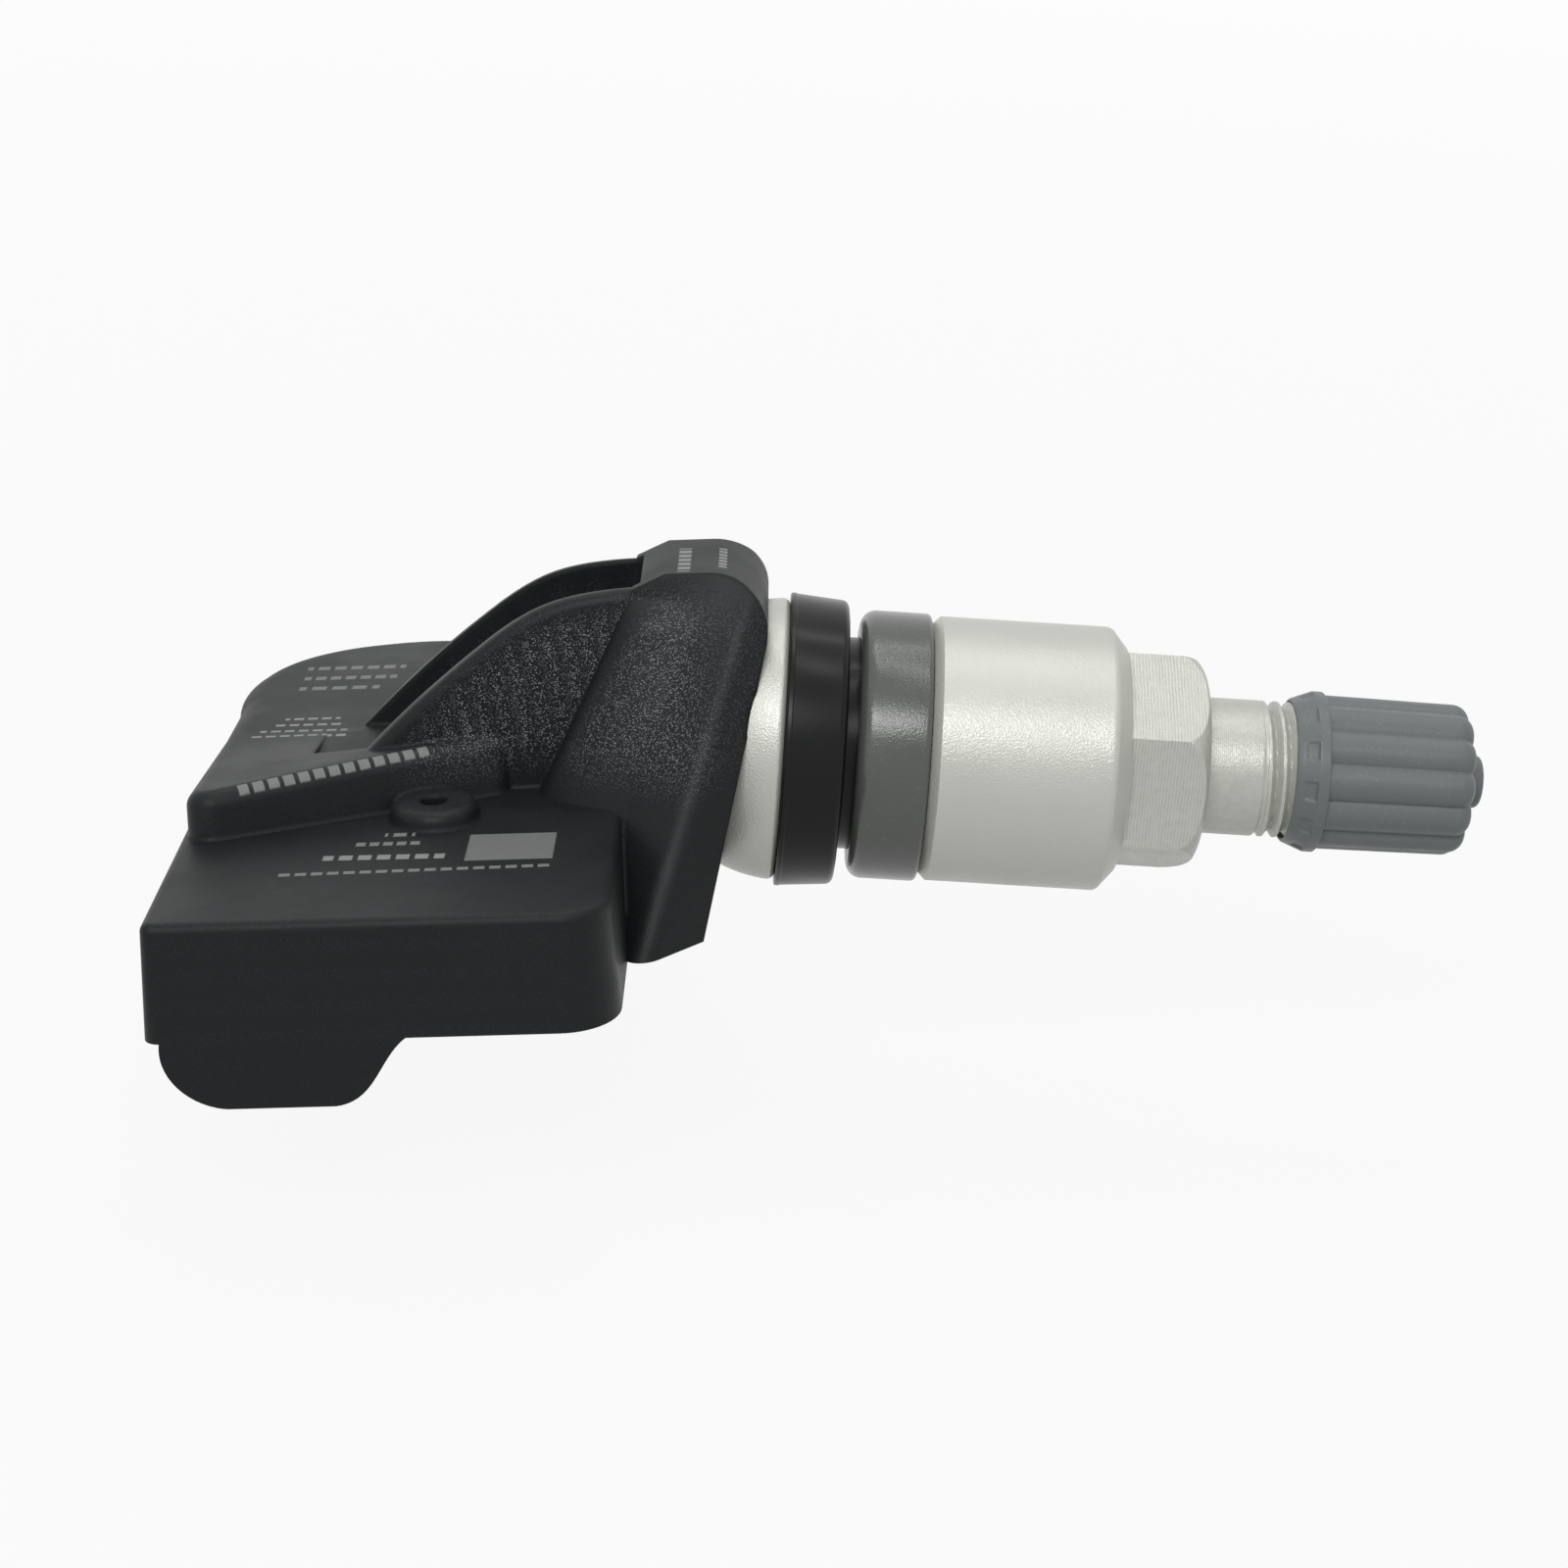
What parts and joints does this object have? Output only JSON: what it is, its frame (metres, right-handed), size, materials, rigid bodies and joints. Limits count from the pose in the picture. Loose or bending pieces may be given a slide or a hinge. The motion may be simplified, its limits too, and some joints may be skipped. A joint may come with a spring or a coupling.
{
  "type": "tyre pressure sensor",
  "caption": "Wheel-mounted tyre pressure sensor: black sensor housing on a ball joint at the foot of a screw-in metal tyre valve with grommet, clamp nut and fluted cap.",
  "frame": {"origin": "on the valve axis, where the grommet's flange meets the rim", "axes": "+X along the valve towards its cap, +Z away from the housing's feet, +Y towards the battery lobe"},
  "size_m": [0.0718, 0.0467, 0.0242],
  "materials": {
    "anodised_metal": "bead blasted, matte anodised",
    "black_rubber": "satin",
    "grey_plastic": "satin",
    "cap_plastic": "matte",
    "white_seal": "satin",
    "brass": "turned",
    "steel": "plain",
    "black_plastic": "fine moulded grain",
    "board": "satin",
    "cell": "satin",
    "chip_plastic": "matte",
    "ferrite": "matte",
    "copper_wire": "enamelled",
    "ceramic": "matte"
  },
  "bodies": {
    "valve": {"valve_stem": "anodised_metal", "rim_grommet": "black_rubber", "clamp_bolt": "steel", "core_body": "brass", "core_gasket": "white_seal", "core_spring": "steel"},
    "ring": {"spacer_ring": "grey_plastic"},
    "nut": {"clamp_nut": "anodised_metal"},
    "seal": {"cap_seal": "black_rubber"},
    "cap": {"valve_cap": "cap_plastic"},
    "pin": {"core_pin": "brass", "core_plunger": "black_rubber"},
    "housing": {"housing_shell": "black_plastic", "base_cover": "black_plastic", "circuit_board": "board", "battery_cell": "cell", "battery_tab_top": "steel", "battery_tab_bottom": "steel", "pressure_sensor": "chip_plastic", "port_seal": "black_rubber", "radio_chip": "chip_plastic", "coil_core": "ferrite", "coil_winding": "copper_wire", "antenna_loop": "steel", "crystal_can": "steel", "board_capacitors": "ceramic"}
  },
  "joints": [
    {"name": "housing_tilt", "type": "hinge", "parent": "valve", "child": "housing", "pos_m": [-0.0031, 0, 0], "axis": [0, 1, 0], "range_deg": [-18, 2]},
    {"name": "ring_slide", "type": "slide", "parent": "valve", "child": "ring", "axis": [1, 0, 0], "range_m": [0, 0.00375]},
    {"name": "nut_turn", "type": "hinge", "parent": "ring", "child": "nut", "pos_m": [0.0126, 0, 0], "axis": [1, 0, 0], "range_deg": [0, 1801]},
    {"name": "cap_lift", "type": "slide", "parent": "valve", "child": "seal", "axis": [1, 0, 0], "range_m": [0, 0.00715]},
    {"name": "cap_turn", "type": "hinge", "parent": "seal", "child": "cap", "pos_m": [0.0305, 0, 0], "axis": [1, 0, 0], "range_deg": [0, 3241]},
    {"name": "core_press", "type": "slide", "parent": "valve", "child": "pin", "axis": [-1, 0, 0], "range_m": [0, 0.001], "stiffness_N_per_m": 1200, "springref_m": -0.002, "deforming": ["core_spring"]}
  ],
  "couplings": [
    {"joint": "nut_turn", "follows": "ring_slide", "rad_per_m": 8377.6},
    {"joint": "cap_turn", "follows": "cap_lift", "rad_per_m": 7913.3}
  ]
}
